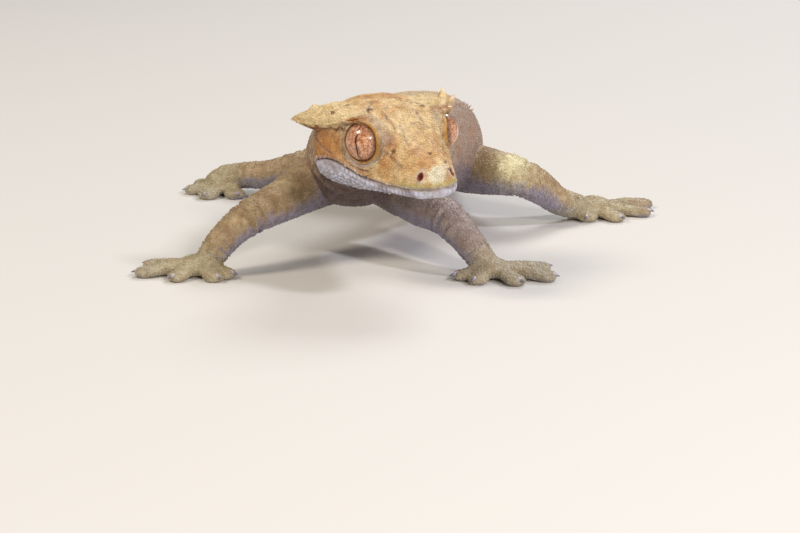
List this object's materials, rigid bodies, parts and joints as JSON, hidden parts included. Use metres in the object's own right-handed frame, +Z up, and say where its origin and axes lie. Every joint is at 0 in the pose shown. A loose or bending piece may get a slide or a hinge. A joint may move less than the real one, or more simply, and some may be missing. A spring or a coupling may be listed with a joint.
{
  "type": "gecko",
  "caption": "Life-size still model of a crested gecko standing on spread padded toes, its broad crested head turned to its left and its tail along the floor.",
  "frame": {"origin": "middle of the underside of the bounding box, on the floor the animal stands on", "axes": "+X to the animal's left, +Y from its shoulders towards its tail along the trunk, +Z up"},
  "size_m": [0.099, 0.1542, 0.0339],
  "materials": {
    "skin": "fine granular scales, orange tan, paler below",
    "jaw_skin": "smooth pale lavender lip plates",
    "eye": "wet, copper with a dark upright slit"
  },
  "bodies": {
    "root": {"head": "skin", "neck": "skin", "torso_front": "skin", "torso_rear": "skin", "tail_base": "skin", "tail_middle": "skin", "tail_tip": "skin", "upper_arm_left": "skin", "forearm_left": "skin", "hand_left": "skin", "upper_arm_right": "skin", "forearm_right": "skin", "hand_right": "skin", "thigh_left": "skin", "shin_left": "skin", "foot_left": "skin", "thigh_right": "skin", "shin_right": "skin", "foot_right": "skin", "jaw": "jaw_skin", "eye_left": "eye", "eye_right": "eye"}
  },
  "joints": []
}
